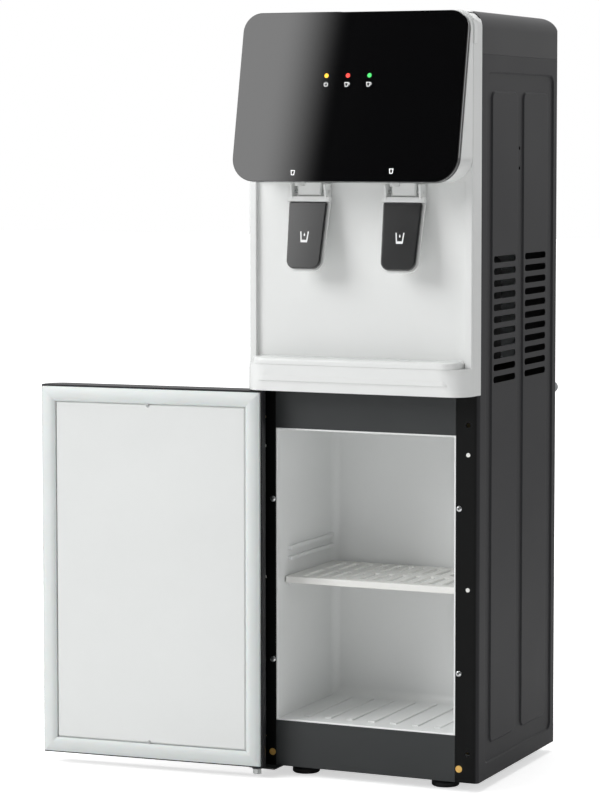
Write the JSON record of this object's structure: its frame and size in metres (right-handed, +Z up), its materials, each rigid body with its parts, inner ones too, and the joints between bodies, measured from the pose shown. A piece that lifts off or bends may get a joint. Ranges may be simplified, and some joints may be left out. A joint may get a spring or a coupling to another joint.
{
  "type": "water cooler",
  "caption": "Floor-standing hot and cold water cooler with two press levers, a lift-out drip tray and a hinged storage cabinet with a slatted shelf below.",
  "frame": {"origin": "on the floor under the middle of the cabinet's footprint", "axes": "+X to the viewer's right, -Y to the front, +Z up; the door stands open at rest, as in the picture"},
  "size_m": [0.6318, 0.4065, 1.0476],
  "materials": {
    "bezel_grey": "satin",
    "black_glass": "high gloss black panel",
    "black_rubber": "matte",
    "board_green": "solder mask",
    "brass": "bright",
    "door_panel_white": "semi-gloss",
    "drip_cover_white": "gloss",
    "foam": "rigid foam",
    "galvanised_steel": "zinc coated",
    "gasket_white": "soft vinyl",
    "graphite_cap": "satin",
    "graphite_steel": "satin powder coat",
    "grey_cap": "satin",
    "lens_amber": "translucent lens",
    "lens_green": "translucent lens",
    "lens_red": "translucent lens",
    "lever_pad_black": "satin black",
    "liner_white": "vacuum formed, semi-gloss",
    "nylon": "natural",
    "rear_black_steel": "semi-gloss black",
    "rivet_silver": "bright",
    "rocker_green": "gloss",
    "rocker_red": "gloss",
    "shelf_white": "semi-gloss",
    "silicone": "translucent white",
    "stainless": "brushed",
    "switch_black": "satin",
    "tap_white": "gloss",
    "white_abs": "gloss",
    "zinc_steel": "zinc plated"
  },
  "bodies": {
    "cabinet": {"back_panel": "galvanised_steel", "base_pan": "galvanised_steel", "beam_panel": "graphite_steel", "bottle_seat": "tap_white", "brass_screws": "brass", "cabinet_insulation": "foam", "cabinet_liner": "liner_white", "cold_pipe": "silicone", "cold_tank": "stainless", "cold_tank_insulation": "foam", "compressor": "rear_black_steel", "compressor_mounts": "black_rubber", "condenser": "rear_black_steel", "condenser_brackets": "rear_black_steel", "display_bezel": "bezel_grey", "display_panel": "black_glass", "drain_cap": "grey_cap", "drain_pipe": "silicone", "feet": "black_rubber", "front_fascia": "white_abs", "head_housing": "white_abs", "hinge_pins": "zinc_steel", "hot_pipe": "silicone", "hot_tank": "stainless", "indicator_board": "board_green", "kick_panel": "graphite_steel", "lens_amber": "lens_amber", "lens_green": "lens_green", "lens_red": "lens_red", "lever_pins": "zinc_steel", "lower_hinge_plate": "rear_black_steel", "piercing_spike": "tap_white", "post_plugs": "nylon", "post_rivets": "rivet_silver", "power_inlet": "switch_black", "side_panel_left": "graphite_steel", "side_panel_right": "graphite_steel", "switch_housings": "switch_black", "tank_deck": "galvanised_steel", "tap_block_left": "white_abs", "tap_block_right": "white_abs", "tap_left": "tap_white", "tap_right": "tap_white", "top_cap": "graphite_cap", "upper_hinge_plate": "zinc_steel"},
    "door": {"door_skin": "graphite_steel", "door_core": "foam", "door_inner_panel": "door_panel_white", "door_gasket": "gasket_white", "door_bushes": "nylon"},
    "shelf": {"shelf": "shelf_white"},
    "lever_left": {"lever_left": "white_abs", "lever_pad_left": "lever_pad_black"},
    "lever_right": {"lever_right": "white_abs", "lever_pad_right": "lever_pad_black"},
    "drip_tray": {"drip_tray": "white_abs"},
    "drip_cover": {"drip_cover": "drip_cover_white"},
    "rocker_heating": {"rocker_heating": "rocker_red"},
    "rocker_cooling": {"rocker_cooling": "rocker_green"}
  },
  "joints": [
    {"name": "door_hinge", "type": "hinge", "parent": "cabinet", "child": "door", "pos_m": [-0.1515, -0.1747, 0.2755], "axis": [0, 0, 1], "range_deg": [0, 175.9]},
    {"name": "shelf_slide", "type": "slide", "parent": "cabinet", "child": "shelf", "axis": [0, 1, 0], "range_m": [-0.17, 0]},
    {"name": "lever_left_press", "type": "hinge", "parent": "cabinet", "child": "lever_left", "pos_m": [-0.0686, -0.177, 0.8065], "axis": [1, 0, 0], "range_deg": [0, 12], "stiffness_Nm_per_rad": 0.6, "springref_deg": -14.32},
    {"name": "lever_right_press", "type": "hinge", "parent": "cabinet", "child": "lever_right", "pos_m": [0.0686, -0.177, 0.8065], "axis": [1, 0, 0], "range_deg": [0, 12], "stiffness_Nm_per_rad": 0.6, "springref_deg": -14.32},
    {"name": "drip_tray_lift", "type": "slide", "parent": "cabinet", "child": "drip_tray", "axis": [0, 0, -1], "range_m": [-0.05, 0]},
    {"name": "drip_cover_lift", "type": "slide", "parent": "cabinet", "child": "drip_cover", "axis": [0, 0, -1], "range_m": [-0.05, 0]},
    {"name": "rocker_heating_tilt", "type": "hinge", "parent": "cabinet", "child": "rocker_heating", "pos_m": [0.06, 0.1535, 0.9], "axis": [1, 0, 0], "range_deg": [-18, 0]},
    {"name": "rocker_cooling_tilt", "type": "hinge", "parent": "cabinet", "child": "rocker_cooling", "pos_m": [0.094, 0.1535, 0.9], "axis": [1, 0, 0], "range_deg": [-18, 0]}
  ],
  "couplings": [
    {"joint": "drip_cover_lift", "follows": "drip_tray_lift", "ratio": 1}
  ]
}
